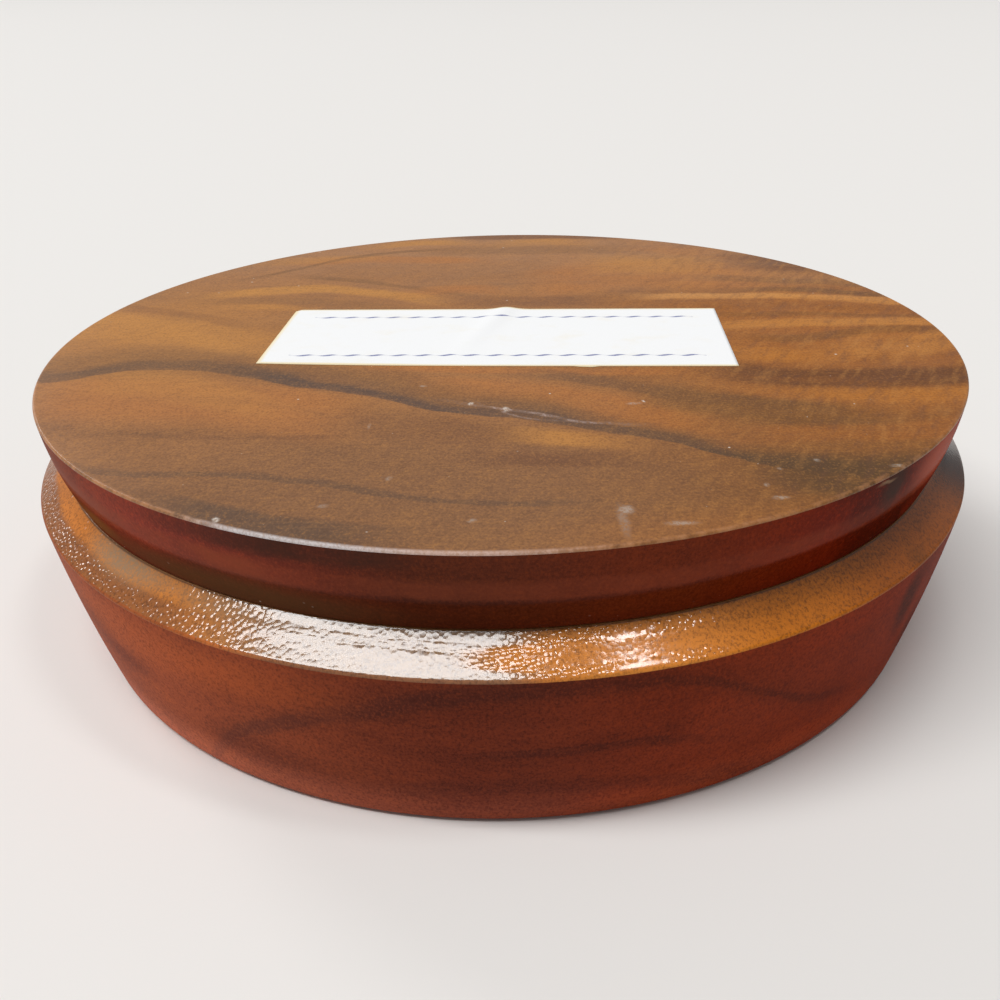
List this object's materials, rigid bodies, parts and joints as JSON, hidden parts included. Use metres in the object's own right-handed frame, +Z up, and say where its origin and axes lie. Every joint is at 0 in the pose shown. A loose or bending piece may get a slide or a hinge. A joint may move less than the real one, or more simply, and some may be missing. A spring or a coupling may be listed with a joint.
{
  "type": "trinket box",
  "caption": "Shallow round turned wooden trinket box standing upside down on its lift-off cap lid, with a blank paper label on the underside of its base.",
  "frame": {"origin": "centre of the bottom of the box as it stands: the middle of the lid's flat top, on the resting surface and on the axis the pieces are turned about", "axes": "+Z up along the turning axis, from the lid's flat top to the labelled underside of the base; +X along the label's long side, to the right as the label is read, within 4 degrees; stored upside down, as it stands in the picture, so turn it 180 degrees about X for use"},
  "size_m": [0.1332, 0.1332, 0.0371],
  "materials": {
    "lid_wood": "streaked red-brown hardwood under a thick gloss lacquer",
    "base_wood": "streaked golden-brown hardwood, satin worn lacquer on the flat face and gloss lacquer on the side",
    "label_paper": "matt white paper with cream edges"
  },
  "bodies": {
    "lid": {"lid": "lid_wood"},
    "base": {"base": "base_wood", "paper_label": "label_paper"}
  },
  "joints": [
    {"name": "lid_lift", "type": "slide", "parent": "lid", "child": "base", "axis": [0, 0, 1], "range_m": [0, 0.05]}
  ]
}
